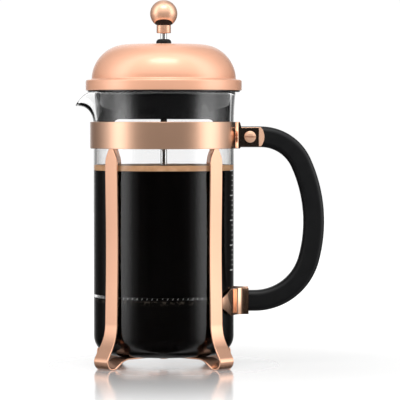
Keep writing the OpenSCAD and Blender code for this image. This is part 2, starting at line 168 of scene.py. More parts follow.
def copper(name, roughness, spread, grain, metal=1.0, polished=None, rim=None,
           shades=COPPER_SHADES, lacquer=0.0):
    """Rose-copper plating: faint colour drift, uneven polish and a fine brushed grain.

    polished is the stretch of X, in metres, that is polished bright, and the rest is brushed.
    rim is a painted shade: the darker colour laid on towards the outline, and lacquer the share
    of clear coat over the metal.
    """
    made, t = material(name)
    colour = t.blend(t.noise(28, 2), *shades)
    rough = t.uneven(90, 4, roughness - spread, roughness + spread)
    metallic = metal
    if polished is not None:
        x = t.where("X")
        start, end = polished
        fade, tip_fade = 0.003, 0.0004
        dull = t.calc("MAXIMUM", t.step(x, start, start + fade, 1.0, 0.0),
                      t.step(x, end, end + tip_fade))
        rough = t.calc("MULTIPLY", rough, t.calc("MULTIPLY_ADD", dull, 0.8, 0.2))
        brushed_tip = t.step(x, end, end + tip_fade, 0.0, 0.45)
        metallic = t.calc("SUBTRACT", 1.0, t.calc(
            "ADD", t.calc("MULTIPLY", dull, 1.0 - metal), brushed_tip))
    # painted shade: the colour darkens to rim where the surface turns away from view
    if rim is not None:
        colour = t.blend(t.step(t.facing(), 0.25, 0.95), colour, rim)
    shader = t.principled(
        Base_Color=colour,
        Metallic=metallic,
        Roughness=rough,
        Normal=t.bump(t.noise(260, 3, grain), 0.06, 0.00006),
    )
    shader.inputs["Coat Weight"].default_value = lacquer
    shader.inputs["Coat Roughness"].default_value = 0.22
    return made


def plastic(name, colour, roughness, grain_scale, grain_strength, gloss=0.5):
    """Moulded plastic: a fine grain and slightly uneven gloss."""
    made, t = material(name)
    shader = t.principled(
        Base_Color=t.blend(t.noise(60, 3), colour, rgb(*[c * 1.35 for c in colour[:3]])),
        Roughness=t.uneven(140, 4, roughness - 0.03, roughness + 0.04),
        Normal=t.bump(t.noise(grain_scale, 2), grain_strength, 0.00004),
    )
    shader.inputs["Specular IOR Level"].default_value = gloss
    return made


def stainless(name, roughness, grain, metal=1.0, shade=0.8):
    """Stainless steel with a fine drawn or brushed grain."""
    made, t = material(name)
    t.principled(
        Base_Color=t.blend(t.noise(40, 2), rgb(shade, shade, shade * 0.99),
                           rgb(shade * 0.87, shade * 0.87, shade * 0.86)),
        Metallic=metal,
        Roughness=t.uneven(120, 4, roughness - 0.04, roughness + 0.05),
        Normal=t.bump(t.noise(300, 3, grain), 0.08, 0.00005),
    )
    return made


def clear_glass():
    """Borosilicate: faint ripples of the blown wall in its surface."""
    made, t = material("borosilicate_glass")
    shader = t.principled(
        Base_Color=rgb(1.0, 1.0, 1.0),
        Roughness=0.0,
        Normal=t.bump(t.noise(18, 2), 0.03, 0.0004),
    )
    shader.inputs["IOR"].default_value = 1.47
    shader.inputs["Transmission Weight"].default_value = 1.0
    return made


# metres, as the material's coordinates are
GROUNDS_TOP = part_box("edge_spring")[0][2]
GROUNDS_LOW = GROUNDS_TOP - 0.0045


def brewed_coffee():
    """Black coffee, with grounds showing faintly at the glass below the filter."""
    made, t = material("brewed_coffee")
    z = t.where("Z")
    capped = t.calc("MULTIPLY", t.step(z, GROUNDS_LOW, GROUNDS_TOP),
                    t.step(z, GROUNDS_TOP, GROUNDS_TOP + 0.0003, 1.0, 0.0))
    specks = t.calc("MULTIPLY", t.calc("POWER", capped, 2.0),
                    t.step(t.noise(480, 4), 0.45, 0.72))
    brew = t.blend(t.noise(55, 3), rgb(0.0016, 0.0005, 0.0003), rgb(0.0006, 0.0003, 0.0002))
    shader = t.principled(
        Base_Color=t.blend(specks, brew, rgb(0.085, 0.070, 0.055)),
        Roughness=t.uneven(80, 2, 0.28, 0.36),
    )
    shader.inputs["Specular IOR Level"].default_value = 0.035
    return made


def coffee_foam():
    """Crema: packed small bubbles of several sizes."""
    made, t = material("coffee_foam")
    bubbles = t.add("ShaderNodeTexVoronoi", feature="SMOOTH_F1")
    bubbles.inputs["Scale"].default_value = 620
    t.links.new(t.place(), bubbles.inputs["Vector"])
    t.principled(
        Base_Color=t.blend(t.uneven(150, 5, 0.0, 1.0), rgb(0.95, 0.56, 0.30),
                           rgb(0.80, 0.42, 0.20)),
        Roughness=t.uneven(90, 2, 0.45, 0.6),
        Normal=t.bump(bubbles.outputs["Distance"], 0.4, 0.0004),
    )
    return made


def enamel():
    """The pale print of the level marks, slightly worn."""
    made, t = material("printed_enamel")
    t.principled(
        Base_Color=t.blend(t.noise(900, 3), rgb(0.55, 0.55, 0.54), rgb(0.40, 0.40, 0.39)),
        Roughness=t.uneven(300, 2, 0.4, 0.55),
    )
    return made


BAND_COPPER = copper("copper_band", 0.34, 0.008, (1, 1, 14), 0.84, (0.0445, 0.0650),
                     lacquer=1.0)
LEG_COPPER = copper("copper_legs", 0.13, 0.01, (6, 6, 1), 0.88, shades=LEG_SHADES,
                    lacquer=0.5)
BRIGHT_COPPER = copper("copper_bright", 0.07, 0.015, (1, 1, 4), 0.97)
# the knob and the screw head carry painted shade: darker brown towards their outlines
KNOB_COPPER = copper("copper_knob", 0.33, 0.01, (1, 1, 6), 0.6, rim=rgb(0.50, 0.30, 0.22))
SCREW_COPPER = copper("copper_screw", 0.36, 0.02, (1, 8, 1), 0.5, rim=rgb(0.40, 0.27, 0.22))
SATIN_COPPER = copper("copper_satin", 0.47, 0.015, (1, 1, 12), 0.42, shades=LID_SHADES,
                      lacquer=1.0)
BUSH_PLASTIC = plastic("bush_plastic", rgb(0.004, 0.004, 0.0045), 0.4, 1500, 0.05, 0.2)
GUARD_PLASTIC = plastic("black_plastic", rgb(0.0085, 0.0085, 0.0088), 0.2, 1500, 0.05)
GRIP_PLASTIC = plastic("grip_plastic", rgb(0.0045, 0.0047, 0.0052), 0.42, 1900, 0.25, 0.3)
STEEL = stainless("stainless_rod", 0.16, (1, 1, 8))
SPRING_STEEL = stainless("spring_steel", 0.3, (1, 1, 8), 0.9, 0.28)
STEEL_SHEET = stainless("stainless_sheet", 0.24, (1, 6, 1))
GLASS = clear_glass()
COFFEE = brewed_coffee()
FOAM = coffee_foam()
ENAMEL = enamel()


# ---------------------------------------------------------------- shapes


def rounded(nodes, steps=8, closed=False):
    """Points along a path through (a, b, radius) nodes, each corner rounded."""
    points = []
    count = len(nodes)
    for i, (a, b, radius) in enumerate(nodes):
        q = np.array((a, b), float)
        if radius <= 0 or (not closed and i in (0, count - 1)):
            points.append(q)
            continue
        before = np.array(nodes[i - 1][:2], float) - q
        after = np.array(nodes[(i + 1) % count][:2], float) - q
        u = before / np.linalg.norm(before)
        v = after / np.linalg.norm(after)
        half = math.acos(max(-1.0, min(1.0, float(u @ v)))) / 2
        centre = q + (u + v) / np.linalg.norm(u + v) * radius / math.sin(half)
        start = q + u * radius / math.tan(half) - centre
        side = -1 if u[0] * v[1] - u[1] * v[0] > 0 else 1
        for k in range(steps + 1):
            angle = side * (math.pi - 2 * half) * k / steps
            c, s = math.cos(angle), math.sin(angle)
            points.append(centre + (start[0] * c - start[1] * s, start[0] * s + start[1] * c))
    return np.array(points)


def path_normals(path):
    """The left normal at each point of a 2-D path, scaled to keep an offset's distance."""
    steps = np.diff(path, axis=0)
    steps /= np.linalg.norm(steps, axis=1)[:, None]
    left = np.stack([-steps[:, 1], steps[:, 0]], axis=1)
    mean = (np.vstack([left[:1], left]) + np.vstack([left, left[-1:]])) / 2
    return mean / (mean * mean).sum(axis=1)[:, None]


def section(half_a, half_b, radius, steps=3):
    """A rounded rectangle, as (a, b) points."""
    radius = min(radius, half_a * 0.98, half_b * 0.98)
    corners = [(-half_a, -half_b), (half_a, -half_b), (half_a, half_b), (-half_a, half_b)]
    return rounded([(a, b, radius) for a, b in corners], steps, closed=True)


def piece(name, points, faces, look, sharp=38, flat=False):
    """A mesh object from millimetre points. flat keeps broad faces flat beside small rounds."""
    mesh = bpy.data.meshes.new(name)
    mesh.from_pydata((np.asarray(points, float) * MM).tolist(), [], faces)
    bm = bmesh.new()
    bm.from_mesh(mesh)
    bmesh.ops.remove_doubles(bm, verts=bm.verts, dist=2e-7)
    bmesh.ops.recalc_face_normals(bm, faces=bm.faces)
    bm.to_mesh(mesh)
    bm.free()
    mesh.shade_smooth()
    mesh.set_sharp_from_angle(angle=math.radians(sharp))
    mesh.materials.append(look)
    made = bpy.data.objects.new(name, mesh)
    bpy.context.scene.collection.objects.link(made)
    if flat:
        weighted = made.modifiers.new("weighted", "WEIGHTED_NORMAL")
        weighted.keep_sharp = True
        weighted.weight = 80
    return made


def skin(rings, wrap=False):
    """Points and faces of a closed skin over rings of equally many points."""
    count = len(rings[0])
    points = np.concatenate([np.asarray(ring, float) for ring in rings])
    faces = []
    last = len(rings) if wrap else len(rings) - 1
    for j in range(last):
        a = j * count
        b = ((j + 1) % len(rings)) * count
        for i in range(count):
            k = (i + 1) % count
            faces.append((a + i, a + k, b + k, b + i))
    if not wrap:
        faces.append(tuple(range(count)))
        faces.append(tuple(range(last * count, (last + 1) * count)))
    return points, faces


def turned(name, profile, look, segments):
    """A closed (r, z) profile turned about the Z axis."""
    radii, heights = np.asarray(profile, float).T
    rings = []
    for k in range(segments):
        angle = 2 * math.pi * k / segments
        rings.append(np.stack([radii * math.cos(angle), radii * math.sin(angle), heights],
                              axis=1))
    return piece(name, *skin(rings, wrap=True), look)


def joined(parts):
    """Several (points, faces) as one."""
    points, faces, base = [], [], 0
    for some, more in parts:
        points.append(some)
        faces += [tuple(i + base for i in face) for face in more]
        base += len(some)
    return np.concatenate(points), faces


def tube(path, radius, sides=6, wrap=False):
    """A round wire along 3-D points."""
    path = np.asarray(path, float)
    if wrap:
        ahead = np.roll(path, -1, axis=0) - np.roll(path, 1, axis=0)
    else:
        ahead = np.gradient(path, axis=0)
    ahead /= np.linalg.norm(ahead, axis=1)[:, None]
    guide = np.array((0.0, 0.0, 1.0))
    rings = []
    for point, forward in zip(path, ahead):
        across = np.cross(forward, guide)
        if np.linalg.norm(across) < 0.2:
            across = np.cross(forward, (point[0], point[1], 0.0))
        across /= np.linalg.norm(across)
        up = np.cross(across, forward)
        rings.append([point + radius * (math.cos(a) * across + math.sin(a) * up)
                      for a in (2 * math.pi * k / sides for k in range(sides))])
    return skin(rings, wrap=wrap)


def mount(made, body, slot, *nodes):
    """Rides a piece on its body and hides the CAD nodes that it stands for. slot is not used."""
    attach(made, body)
    if nodes:
        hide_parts(*nodes)


def carve(made, cutter_points, cutter_faces):
    """Cuts a closed shape out of a piece."""
    cutter = piece("cutter", cutter_points, cutter_faces, STEEL)
    cut = made.modifiers.new("cut", "BOOLEAN")
    cut.operation = "DIFFERENCE"
    cut.solver = "EXACT"
    cut.object = cutter
    bpy.context.view_layer.update()
    evaluated = made.evaluated_get(bpy.context.evaluated_depsgraph_get())
    carved = bpy.data.meshes.new_from_object(evaluated)
    made.modifiers.remove(cut)
    made.data = carved
    bpy.data.objects.remove(cutter)


# ---------------------------------------------------------------- frame

band_low, band_high = span("frame_band")
strap_top = span("leg_strap_a")[1][2]
SHEET = 1.2
SHEET_EDGE = 0.32
band_mid_r = band_high[1] - SHEET / 2
ear_tip_x = band_high[0]
EAR_Y = 6.6
EAR_Z = band_low[2] + 8.0
EAR_HALF = 6.5
EAR_BEND = 3.0
EAR_END_R = 10.0


def bend_onto(radius, side_y):
    """Where a bend of that radius leads off the beaker's circle: its centre x and its angle."""
    centre_x = math.sqrt((band_mid_r + radius) ** 2 - (side_y + radius) ** 2)
    return centre_x, math.asin((side_y + radius) / (band_mid_r + radius))


def band_piece():
    """The band with its two ears, from the front ear's tip round to the rear one's."""
    centre_x, start = bend_onto(EAR_BEND, EAR_Y)
    round_from = ear_tip_x - EAR_END_R + math.sqrt(EAR_END_R ** 2 - EAR_HALF ** 2)
    tip = [(ear_tip_x - (ear_tip_x - round_from) * math.sin(a) ** 2, -EAR_Y)
           for a in np.linspace(0, math.pi / 2, 12)]
    tip[0] = (ear_tip_x - 0.002, -EAR_Y)
    flat = [(x, -EAR_Y) for x in np.linspace(round_from, centre_x, 14)[1:]]
    bend = [(centre_x + EAR_BEND * math.cos(a), -EAR_Y - EAR_BEND + EAR_BEND * math.sin(a))
            for a in np.linspace(math.pi / 2, math.pi - start, 14)[1:]]
    ring = [(band_mid_r * math.cos(a), band_mid_r * math.sin(a))
            for a in np.linspace(-start, -math.pi, 76)[1:]]
    half = np.array(tip + flat + bend + ring)
    path = np.vstack([half, (half * (1, -1))[-2::-1]])
    normals = path_normals(path)
    rings = []
    for (x, y), normal in zip(path, normals):
        low, high = band_low[2], band_high[2]
        if abs(y) < EAR_Y + 0.01 and x > centre_x - 0.01:
            blend = min(1.0, (x - centre_x) / 0.9)
            blend = 1 - (1 - blend) ** 2
            reach = EAR_HALF
            if x > round_from:
                reach = math.sqrt(max(EAR_END_R ** 2 - (x - ear_tip_x + EAR_END_R) ** 2, 0.0025))
            low += (EAR_Z - reach - low) * blend
            high += (EAR_Z + reach - high) * blend
        outline = section(SHEET / 2, (high - low) / 2, SHEET_EDGE)
        middle = (low + high) / 2
        rings.append([(x + a * normal[0], y + a * normal[1], middle + b) for a, b in outline])
    return piece("clamp_band", *skin(rings), BAND_COPPER, flat=True)


LEG_TURN = math.radians(45)
BASE_Z = 6.8
LEG_HALF = 5.75
FOOT_HALF = 6.5
FOOT_RISE = 22.0
FOOT_R = 60.2
LEG_BOW, LEG_BOW_Z = 1.05, 78.0
NECK_HALF = 2.0
NECK_H = 10.0
RUN_STEP = 9.0


def strap_piece(name, drop, turn):
    """One strap bent from foot to foot: two legs, two feet and the base between them."""
    start = [(0, BASE_Z - drop, 0)]
    if drop:
        start += [(8, BASE_Z - drop, 2), (12, BASE_Z, 2)]
    bow_r = band_mid_r - LEG_BOW
    neck_z = strap_top - NECK_H
    neck_r = band_mid_r - LEG_BOW * NECK_H / (strap_top - LEG_BOW_Z)
    foot = [(43.2, BASE_Z, 14), (52.5, SHEET / 2, 2), (FOOT_R + 3.6, SHEET / 2, 4.9),
            (band_mid_r + 0.1, FOOT_RISE, 30), (bow_r, LEG_BOW_Z, 1300), (neck_r, neck_z, 0)]
    neck = [(neck_r + (band_mid_r - neck_r) * k / 12, neck_z + NECK_H * k / 12)
            for k in range(1, 13)]
    corners = np.vstack([rounded(start + foot, 16), neck])
    # long straight runs are divided, so that the faces stay short
    half = []
    for a, b in zip(corners, corners[1:]):
        parts = max(1, int(math.hypot(*(b - a)) / RUN_STEP))
        half += [a + (b - a) * k / parts for k in range(parts)]
    half = np.array(half + [corners[-1]])
    path = np.vstack([(half * (-1, 1))[:0:-1], half])
    normals = path_normals(path)
    c, s = math.cos(turn), math.sin(turn)
    rings = []
    for (x, z), normal in zip(path, normals):
        rise = (z - neck_z) / NECK_H
        spread = min(1.0, max(0.0, 2 - 2 * z / FOOT_RISE))
        width = LEG_HALF + (FOOT_HALF - LEG_HALF) * spread
        if rise > 0:
            width = NECK_HALF + (LEG_HALF - NECK_HALF) * math.cos(math.pi / 2 * min(rise, 1))
        ring = []
        for a, b in section(SHEET / 2, width, SHEET_EDGE):
            u, w = x + a * normal[0], z + a * normal[1]
            ring.append((u * c - b * s, u * s + b * c, w))
        rings.append(ring)
    return piece(name, *skin(rings), LEG_COPPER, flat=True)


bracket_low, bracket_high = span("lower_bracket")
BRACKET_BEND = 9.0
BRACKET_FULL = math.radians(24)
BRACKET_ROOT_HALF = 3.3
ROLL_R = 2.0
ROLL_SWEEP = math.radians(58)


def bracket_piece():
    """The lower bracket: a wing from each front leg, bent out along the handle's end."""
    centre_x, start = bend_onto(BRACKET_BEND, EAR_Y)
    middle = (bracket_low[2] + bracket_high[2]) / 2
    full = (bracket_high[2] - bracket_low[2]) / 2
    root = LEG_TURN - math.asin(LEG_HALF / (band_mid_r - SHEET / 2))
    wing = [(a, band_mid_r * math.cos(a), band_mid_r * math.sin(a))
            for a in np.linspace(-root, -start, 22)]
    bend = [(0, centre_x + BRACKET_BEND * math.cos(a),
             -EAR_Y - BRACKET_BEND + BRACKET_BEND * math.sin(a))
            for a in np.linspace(math.pi - start, math.pi / 2, 22)[1:]]
    end_x = bracket_high[0]
    flat = [(0, x, -EAR_Y) for x in np.linspace(centre_x, end_x, 14)[1:]]
    path = np.array([(x, y) for _, x, y in wing + bend + flat])
    normals = path_normals(path)
    roll_x = end_x - ROLL_R * math.sin(ROLL_SWEEP)
    sides = []
    for mirror in (1, -1):
        rings = []
        for (angle, x, y), normal in zip(wing + bend + flat, normals):
            reach = full
            if angle < -BRACKET_FULL:
                share = (-angle - BRACKET_FULL) / (root - BRACKET_FULL)
                reach = full + (BRACKET_ROOT_HALF - full) * share
            elif angle and angle < -start:
                share = (-angle - start) / (BRACKET_FULL - start)
                reach = full - 0.25 * share ** 3
            # the outer face rolls over towards the free edge
            thin = ROLL_R - math.sqrt(ROLL_R ** 2 - max(0.0, x - roll_x) ** 2)
            ring = []
            for a, b in section(SHEET / 2, reach, SHEET_EDGE):
                shift = a + thin if a < 0 else a
                ring.append((x - shift * normal[0], mirror * (y - shift * normal[1]), middle + b))
            rings.append(ring)
        sides.append(skin(rings))
    return piece("handle_bracket", *joined(sides), BRIGHT_COPPER)


for made, node in ((band_piece(), "frame_band"),
                   (strap_piece("leg_strap_upper", 0.0, LEG_TURN), "leg_strap_a"),
                   (strap_piece("leg_strap_lower", SHEET, -LEG_TURN), "leg_strap_b"),
                   (bracket_piece(), "lower_bracket")):
    mount(made, "frame", "polished_copper", node)


# ---------------------------------------------------------------- handle

handle_x = span("handle")[0][0]
GRIP_BENDS = ((30.4, 65.4), (97.6, 40), (38.6, 74.6))    # radius, degrees
GRIP_BEND_X = 66.7
GRIP_MID_X = 60.0
GRIP_END_SHARE = 0.94
GRIP_HALF_T = 7.14
GRIP_HALF_D = 5.95
GRIP_CORNER = 3.6


def grip_piece():
    """The handle swept along its run of bends, with softly rounded ends."""
    x, z, heading = GRIP_BEND_X, EAR_Z, 0.0
    line = [(at, z, 0.0) for at in (handle_x, handle_x + 0.5, GRIP_MID_X, x)]
    for radius, sweep in GRIP_BENDS:
        steps = max(6, int(sweep / 2.5))
        begin = heading
        x0, z0 = x, z
        for k in range(1, steps + 1):
            heading = begin - math.radians(sweep) * k / steps
            x = x0 - radius * (math.sin(heading) - math.sin(begin))
            z = z0 + radius * (math.cos(heading) - math.cos(begin))
            line.append((x, z, heading))
    line += [(handle_x + 0.5, z, heading), (handle_x, z, heading)]
    rings = []
    for k, (x, z, heading) in enumerate(line):
        small = GRIP_END_SHARE if k in (0, len(line) - 1) else 1.0
        outline = section(GRIP_HALF_T * small, GRIP_HALF_D * small, GRIP_CORNER, 6)
        rings.append([(x - a * math.sin(heading), b, z + a * math.cos(heading))
                      for a, b in outline])
    return piece("grip", *skin(rings), GRIP_PLASTIC, sharp=60, flat=True)


mount(grip_piece(), "frame", "handle_plastic", "handle")


# ---------------------------------------------------------------- clamp screw and nut

screw_low, screw_high = span("clamp_screw")
nut_low, nut_high = span("clamp_nut")
screw_x = (screw_low[0] + screw_high[0]) / 2
screw_z = (screw_low[2] + screw_high[2]) / 2
HEAD_SEAT = EAR_Y + SHEET / 2 + 0.1
SHANK_R = 2.0
SLOT_HALF, SLOT_DEPTH = 0.5, 1.4
NUT_BORE = SHANK_R + 0.06
NUT_GROOVES, GROOVE_SHARE = 18, 0.045


def across(profile, segments, wobble=None):
    """A closed (r, y) profile turned about the clamp's axis, along Y."""
    rings = []
    for k in range(segments):
        angle = 2 * math.pi * k / segments
        ring = []
        for r, y in profile:
            radius = r * (wobble(angle, r) if wobble else 1.0)
            ring.append((screw_x + radius * math.cos(angle), y,
                         screw_z + radius * math.sin(angle)))
        rings.append(ring)
    return skin(rings, wrap=True)


def screw_piece():
    """The clamp screw: a low domed head with a slot cut across it, and a plain shank."""
    head_r = (screw_high[0] - screw_low[0]) / 2
    face, end = screw_low[1], screw_high[1]
    profile = rounded([
        (0.0, face, 0), (head_r * 0.55, face + 0.12, 3), (head_r - 0.1, face + 0.75, 0.6),
        (head_r, -HEAD_SEAT, 0.25), (SHANK_R, -HEAD_SEAT, 0), (SHANK_R, end - 0.4, 0),
        (SHANK_R - 0.4, end, 0), (0.0, end, 0)], 5)
    made = piece("slotted_screw", *across(profile, 72), SCREW_COPPER, sharp=40)
    wide = head_r + 1
    corners = [(screw_x + sx * wide, y, screw_z + sz * SLOT_HALF)
               for y in (face - 1, face + SLOT_DEPTH) for sx, sz in
               ((-1, -1), (1, -1), (1, 1), (-1, 1))]
    carve(made, corners, [(0, 1, 2, 3), (7, 6, 5, 4), (0, 4, 5, 1), (1, 5, 6, 2),
                          (2, 6, 7, 3), (3, 7, 4, 0)])
    made.data.shade_smooth()
    made.data.set_sharp_from_angle(angle=math.radians(32))
    return made


def nut_piece():
    """The round nut, with shallow grooves round its edge and a recessed face."""
    low, high = nut_low[1], nut_high[1]
    radius = (nut_high[0] - nut_low[0]) / 2

    def knurl(angle, r):
        if r < radius * 0.7:
            return 1.0
        return 1 - GROOVE_SHARE * max(0.0, math.cos(NUT_GROOVES * angle)) ** 6

    profile = rounded([(NUT_BORE, low, 0.2), (radius, low, 0.3), (radius, high, 0.7),
                       (3.2, high, 0.3), (3.2, high - 0.5, 0.2), (NUT_BORE, high - 0.5, 0.2)],
                      4, closed=True)
    return piece("knurled_nut", *across(profile, 216, knurl), BRIGHT_COPPER, sharp=50)


mount(screw_piece(), "screw", "polished_copper", "clamp_screw")
mount(nut_piece(), "nut", "polished_copper", "clamp_nut")


# ---------------------------------------------------------------- beaker and contents

glass_low, glass_high = span("beaker")
GLASS_R = 48.2
WALL = 1.7
FLARE = glass_high[1] - GLASS_R
FLOOR_T = 2.4
CORNER = 13.0
SPOUT_ROOT_Z = 166.0
SPOUT_R_ANGLE = 26.0
SPOUT_Z_ANGLE = 17.0
RIM_ROUND, SPOUT_ROUND = 0.78, 0.3
rim_z = glass_high[2]
base_z = glass_low[2]
inner_r = GLASS_R - WALL
inner_corner = CORNER - WALL
inner_floor = base_z + FLOOR_T
spout_reach = -glass_low[0] - 0.2
SPOUT_TIP_Z = rim_z - 9.6


def bezier(p, t):
    """The point at t on a cubic curve of four control points."""
    p = np.array(p, float)
    return ((1 - t) ** 3 * p[0] + 3 * t * (1 - t) ** 2 * p[1]
            + 3 * t * t * (1 - t) * p[2] + t ** 3 * p[3])


SPOUT_OUTER = ((GLASS_R, SPOUT_ROOT_Z), (GLASS_R + 0.6, SPOUT_ROOT_Z + 9),
               (spout_reach - 6.4, SPOUT_TIP_Z), (spout_reach, SPOUT_TIP_Z + 0.2))
SPOUT_INNER = ((inner_r, SPOUT_ROOT_Z), (inner_r + 0.4, SPOUT_ROOT_Z + 11),
               (spout_reach - 7.4, SPOUT_TIP_Z + 1.7), (spout_reach - 0.9, SPOUT_TIP_Z + 1.7))


def bump_share(angle, half_angle):
    """1 at the spout's middle, falling smoothly to 0 at half_angle on each side of it."""
    off = abs(angle)
    return 0.0 if off >= half_angle else math.cos(math.pi / 2 * off / half_angle) ** 2


FLOOR_SHARES = (0.3, 0.7)
WALL_STOPS = (50, 90, 130)
# degrees from the spout's middle, closer together across the spout
WALL_ANGLES = np.concatenate([np.arange(-180, -30, 3.0), np.arange(-30, 30, 1.0),
                              np.arange(30, 180, 3.0)])


def wall_ring(plain, spout=None):
    """A ring of the glass through the (r, z) point plain, drawn out to spout at the spout."""
    spout = plain if spout is None else spout
    ring = []
    for off in WALL_ANGLES:
        a = math.radians(off + 180)
        r = plain[0] + (spout[0] - plain[0]) * bump_share(off, SPOUT_R_ANGLE)
        z = plain[1] + (spout[1] - plain[1]) * bump_share(off, SPOUT_Z_ANGLE)
        ring.append((r * math.cos(a), r * math.sin(a), z))
    return ring


def glass_piece():
    """The blown beaker as one skin: outside from the middle up, over the rim, inside down."""
    steps = 16
    outer_arc = [(GLASS_R - CORNER + CORNER * math.sin(a), base_z + CORNER * (1 - math.cos(a)))
                 for a in np.linspace(0, math.pi / 2, 12)]
    inner_arc = [(inner_r - inner_corner + inner_corner * math.sin(a),
                  inner_floor + inner_corner * (1 - math.cos(a)))
                 for a in np.linspace(math.pi / 2, 0, 12)]
    rings = [wall_ring((outer_arc[0][0] * share, base_z)) for share in FLOOR_SHARES]
    rings += [wall_ring(p) for p in outer_arc]
    rings += [wall_ring((GLASS_R, z)) for z in WALL_STOPS]

    def wall(inset, curve, k):
        t = k / steps
        plain = (GLASS_R - inset + FLARE * t * t,
                 SPOUT_ROOT_Z + (rim_z - 0.8 - SPOUT_ROOT_Z) * t)
        return plain, bezier(curve, t)

    rings += [wall_ring(*wall(0, SPOUT_OUTER, k)) for k in range(steps + 1)]
    plain_out, spout_out = wall(0, SPOUT_OUTER, steps)
    plain_in, spout_in = wall(WALL, SPOUT_INNER, steps)
    for a in np.linspace(0, math.pi, 8)[1:-1]:
        share = (1 - math.cos(a)) / 2
        plain = (plain_out[0] + (plain_in[0] - plain_out[0]) * share,
                 plain_out[1] + RIM_ROUND * math.sin(a))
        spout = spout_out + (spout_in - spout_out) * share + SPOUT_ROUND * math.sin(a)
        rings.append(wall_ring(plain, spout))
    rings += [wall_ring(*wall(WALL, SPOUT_INNER, k)) for k in range(steps, -1, -1)]
    rings += [wall_ring((inner_r, z)) for z in WALL_STOPS[::-1]]
    rings += [wall_ring(p) for p in inner_arc]
    rings += [wall_ring((inner_arc[-1][0] * share, inner_floor))
              for share in FLOOR_SHARES[::-1]]
    return piece("glass_beaker", *skin(rings), GLASS, sharp=70)


mount(glass_piece(), "beaker", "glass", "beaker")

spring_low, spring_high = span("edge_spring")
spring_z = (spring_low[2] + spring_high[2]) / 2

COFFEE_TOP = 134.0
FOAM_TOP = 137.6
TOUCH = 0.04
coffee_r = inner_r + TOUCH
coffee_floor = inner_floor - TOUCH
# the spring rubs the glass clear of coffee in a narrow channel
CHANNEL_HALF, CHANNEL_MOUTH = 0.75, 0.95
channel_r = spring_high[0] - 0.22
coffee_line = rounded([
    (0.0, coffee_floor, 0), (coffee_r, coffee_floor, inner_corner),
    (coffee_r, spring_z - CHANNEL_MOUTH, 0), (channel_r, spring_z - CHANNEL_HALF, 0),
    (channel_r, spring_z + CHANNEL_HALF, 0), (coffee_r, spring_z + CHANNEL_MOUTH, 0),
    (coffee_r, COFFEE_TOP, 0), (0.0, COFFEE_TOP, 0)], 12)
mount(turned("coffee", coffee_line, COFFEE, 160), "beaker", None)


def foam_piece():
    """The foam floating on the coffee, a little higher at the glass and lumpy on top."""
    count, levels, middle_r = 160, 26, 0.001
    lump, rise, rise_width = 0.14, 0.5, 1.2
    angles = [2 * math.pi * k / count for k in range(count)]
    rings = [[(r * math.cos(a), r * math.sin(a), COFFEE_TOP) for a in angles]
             for r in (middle_r, coffee_r)]
    for r in np.linspace(0.0, coffee_r, levels)[::-1]:
        ring = []
        for a in angles:
            x, y = max(r, middle_r) * math.cos(a), max(r, middle_r) * math.sin(a)
            lumps = (math.sin(0.9 * x + 1.3) * math.sin(1.1 * y) + math.sin(
                0.43 * x - 0.6 * y + 0.8)) * lump
            climb = rise * math.exp(-(coffee_r - r) / rise_width)
            edge = 1 if r < coffee_r - 0.5 else 0.3
            ring.append((x, y, FOAM_TOP - 0.35 + lumps * edge + climb))
        rings.append(ring)
    return piece("coffee_foam", *skin(rings), FOAM, sharp=80)


mount(foam_piece(), "beaker", None)


def graduation_piece():
    """Printed level marks on the glass beside the handle: long ones among short ones."""
    marks = []
    lowest, pitch, count, major = 66.0, 3.4, 21, 5
    near = math.radians(-11.5)
    back, face = GLASS_R + 0.01, GLASS_R + 0.06
    for k in range(count):
        z = lowest + pitch * k
        wide, half = (8.5, 0.32) if k % major == 0 else (4.2, 0.24)
        wide = math.radians(wide)
        rings = []
        for angle in np.linspace(near, near - wide, 7):
            c, s = math.cos(angle), math.sin(angle)
            rings.append([(r * c, r * s, z + dz) for r, dz in
                          ((back, -half), (face, -half), (face, half), (back, half))])
        marks.append(skin(rings))
    return piece("level_marks", *joined(marks), ENAMEL, sharp=30)


mount(graduation_piece(), "beaker", None)


# ---------------------------------------------------------------- lid

dome_low, dome_high = span("lid_dome")
brim_r = dome_high[0]
brim_z = dome_low[2]
dome_z = dome_high[2]
DOME_BEND = 24.4
BRIM_STEP = 4.0
DOME_WALL = 1.0
BRIM_TOP = 196.0
STEM_HOLE = 4.06
STEM_R = 4.0


def dome_profile():
    """The dome's section as one sheet: outer face down to the brim's edge, inner face back."""
    outer_r = brim_r - 0.004
    middle_r = brim_r - BRIM_STEP - DOME_BEND
    middle_z = dome_z - DOME_BEND

    def face(inset, edge, crease):
        bend = [(middle_r + (DOME_BEND - inset) * math.sin(a),
                 middle_z + (DOME_BEND - inset) * math.cos(a))
                for a in np.linspace(0, math.radians(84), 34)]
        line = [(STEM_HOLE, dome_z - inset, 0), (middle_r * 0.5, dome_z - inset, 0)]
        line += [(r, z, 0) for r, z in bend]
        side_r = middle_r + DOME_BEND - inset - 0.02
        line += [(side_r, BRIM_TOP - inset, crease), (outer_r - inset, BRIM_TOP - inset, edge),
                 (outer_r - inset, brim_z, 0)]
        return rounded(line, 10)

    outer = face(0.0, 1.3, 1.5)
    inner = face(DOME_WALL, 0.5, 2.2)[::-1]
    rim = [(outer_r - 0.25, brim_z), (outer_r - DOME_WALL + 0.25, brim_z)]
    outer[-1] = (outer_r, brim_z + 0.3)
    inner[0] = (outer_r - DOME_WALL, brim_z + 0.3)
    return np.vstack([outer, rim, inner])


mount(turned("lid_shell", dome_profile(), SATIN_COPPER, 200), "lid", "satin_copper", "lid_dome")

